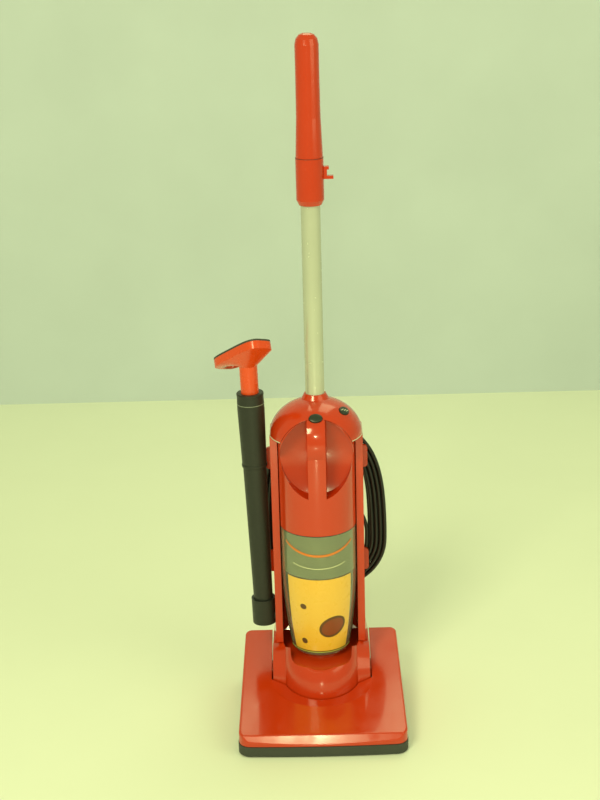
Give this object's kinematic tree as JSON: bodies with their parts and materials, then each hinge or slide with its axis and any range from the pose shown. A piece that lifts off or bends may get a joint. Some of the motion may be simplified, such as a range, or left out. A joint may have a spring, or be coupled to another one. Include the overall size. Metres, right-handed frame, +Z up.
{
  "type": "upright vacuum cleaner",
  "caption": "Slim upright vacuum: flat floor head, reclining body with clear dust cup and lid, tube handle, hung cord, side wand with upholstery tool.",
  "frame": {"origin": "on the floor, at the centre of the flat skid under the sole tray, below the axis on which the body reclines", "axes": "+Z up; +X to the object's right as seen from its front; -Y out of its front, where the brush is"},
  "size_m": [0.308, 0.3, 1.149],
  "materials": {
    "red_gloss": "glossy moulded red plastic",
    "clear_plastic": "clear smoke-tinted moulded plastic, shiny on both sides",
    "cup_print": "thin printed film, plain warm amber",
    "black_plastic": "fine-grained black moulded plastic",
    "silver_tube": "silver-grey coated steel tube, satin",
    "orange_plastic": "orange-red moulded plastic",
    "cord_rubber": "black flexible cord jacket",
    "plug_rubber": "black moulded plug, with bright blades",
    "soft_rubber": "dark soft rubber",
    "wheel_plastic": "dark grey hard plastic",
    "steel": "plain bright steel",
    "bristle": "stiff dark nylon tufts",
    "filter_paper": "off-white pleated filter paper",
    "filter_foam": "dark open-cell foam pad",
    "fan_plastic": "pale grey moulded fan"
  },
  "bodies": {
    "nozzle": {"nozzle_hood": "red_gloss", "sole_tray": "black_plastic", "front_bumper": "black_plastic", "wheel_axles": "steel", "brush_axle": "steel", "brush_end_caps": "soft_rubber", "drive_belt": "soft_rubber", "pivot_saddles": "black_plastic", "pivot_caps": "black_plastic", "pedal_pin": "steel", "pedal_spring": "steel"},
    "upright": {"motor_bowl": "red_gloss", "motor_back": "red_gloss", "motor_deck": "red_gloss", "motor_can": "steel", "motor_mounts": "soft_rubber", "rear_housing": "red_gloss", "exhaust_filter": "filter_foam", "exhaust_cover": "red_gloss", "canopy": "red_gloss", "handle_tube": "silver_tube", "handle_collar": "red_gloss", "handle_grip": "red_gloss", "collar_screw": "steel", "cord_clip": "red_gloss", "body_screws": "steel", "cord_hook_lower": "black_plastic", "cord_hank": "cord_rubber", "cord_lead": "cord_rubber", "cord_tail": "cord_rubber", "strain_relief": "black_plastic", "plug": "plug_rubber", "wand_holder": "black_plastic", "stretch_hose": "soft_rubber"},
    "pedal": {"release_pedal": "wheel_plastic"},
    "rear_left": {"rear_wheel_left": "wheel_plastic"},
    "rear_right": {"rear_wheel_right": "wheel_plastic"},
    "front_left": {"front_wheel_left": "wheel_plastic"},
    "front_right": {"front_wheel_right": "wheel_plastic"},
    "rotor": {"motor_armature": "steel", "motor_shaft": "steel", "motor_fan": "fan_plastic"},
    "brushroll": {"brush_core": "black_plastic", "brush_bristles": "bristle"},
    "cup": {"dust_cup": "clear_plastic", "cup_label": "cup_print", "cup_seal": "soft_rubber", "cup_lid": "red_gloss", "filter_plate": "black_plastic", "pleated_filter": "filter_paper"},
    "latch": {"latch_button": "black_plastic"},
    "switch": {"power_switch": "black_plastic"},
    "hook": {"cord_hook_upper": "black_plastic"},
    "wand": {"wand_lower": "black_plastic"},
    "wand_end": {"wand_upper": "black_plastic"},
    "tool": {"upholstery_tool": "orange_plastic", "tool_lip": "black_plastic"}
  },
  "joints": [
    {"name": "recline", "type": "hinge", "parent": "nozzle", "child": "upright", "pos_m": [0, 0, 0.056], "axis": [-1, 0, 0], "range_deg": [0, 60]},
    {"name": "pedal_press", "type": "hinge", "parent": "nozzle", "child": "pedal", "pos_m": [-0.115, 0.04, 0.072], "axis": [-1, 0, 0], "range_deg": [0, 12], "stiffness_Nm_per_rad": 0.8, "springref_deg": -5.73},
    {"name": "rear_left_roll", "type": "hinge", "parent": "nozzle", "child": "rear_left", "pos_m": [-0.112, 0.046, 0.026], "axis": [-1, 0, 0], "continuous": true},
    {"name": "rear_right_roll", "type": "hinge", "parent": "nozzle", "child": "rear_right", "pos_m": [0.112, 0.046, 0.026], "axis": [-1, 0, 0], "continuous": true},
    {"name": "front_left_roll", "type": "hinge", "parent": "nozzle", "child": "front_left", "pos_m": [-0.066, -0.118, 0.008], "axis": [-1, 0, 0], "continuous": true},
    {"name": "front_right_roll", "type": "hinge", "parent": "nozzle", "child": "front_right", "pos_m": [0.066, -0.118, 0.008], "axis": [-1, 0, 0], "continuous": true},
    {"name": "motor_spin", "type": "hinge", "parent": "upright", "child": "rotor", "pos_m": [0, 0, 0.056], "axis": [-1, 0, 0], "continuous": true},
    {"name": "brush_spin", "type": "hinge", "parent": "nozzle", "child": "brushroll", "pos_m": [0, -0.155, 0.021], "axis": [-1, 0, 0], "continuous": true},
    {"name": "cup_pull", "type": "slide", "parent": "upright", "child": "cup", "axis": [0, -1, 0], "range_m": [0, 0.18]},
    {"name": "latch_push", "type": "slide", "parent": "upright", "child": "latch", "axis": [0, 0.6367, -0.7711], "range_m": [0, 0.003], "stiffness_N_per_m": 400, "springref_m": -0.001},
    {"name": "switch_rock", "type": "hinge", "parent": "upright", "child": "switch", "pos_m": [0.04615, -0.01756, 0.5412], "axis": [-0.7103, 0.3712, 0.598], "range_deg": [-8, 8]},
    {"name": "hook_turn", "type": "hinge", "parent": "upright", "child": "hook", "pos_m": [0, 0.09, 0.4263], "axis": [0, 1, 0], "range_deg": [0, 180]},
    {"name": "wand_lift", "type": "slide", "parent": "upright", "child": "wand", "axis": [-0.0255, 0, 0.9997], "range_m": [0, 0.06]},
    {"name": "wand_pull", "type": "slide", "parent": "wand", "child": "wand_end", "axis": [-0.0255, 0, 0.9997], "range_m": [0, 0.04]},
    {"name": "tool_pull", "type": "slide", "parent": "wand_end", "child": "tool", "axis": [-0.0255, 0, 0.9997], "range_m": [0, 0.03]}
  ],
  "couplings": [
    {"joint": "brush_spin", "follows": "motor_spin", "ratio": 0.5}
  ]
}
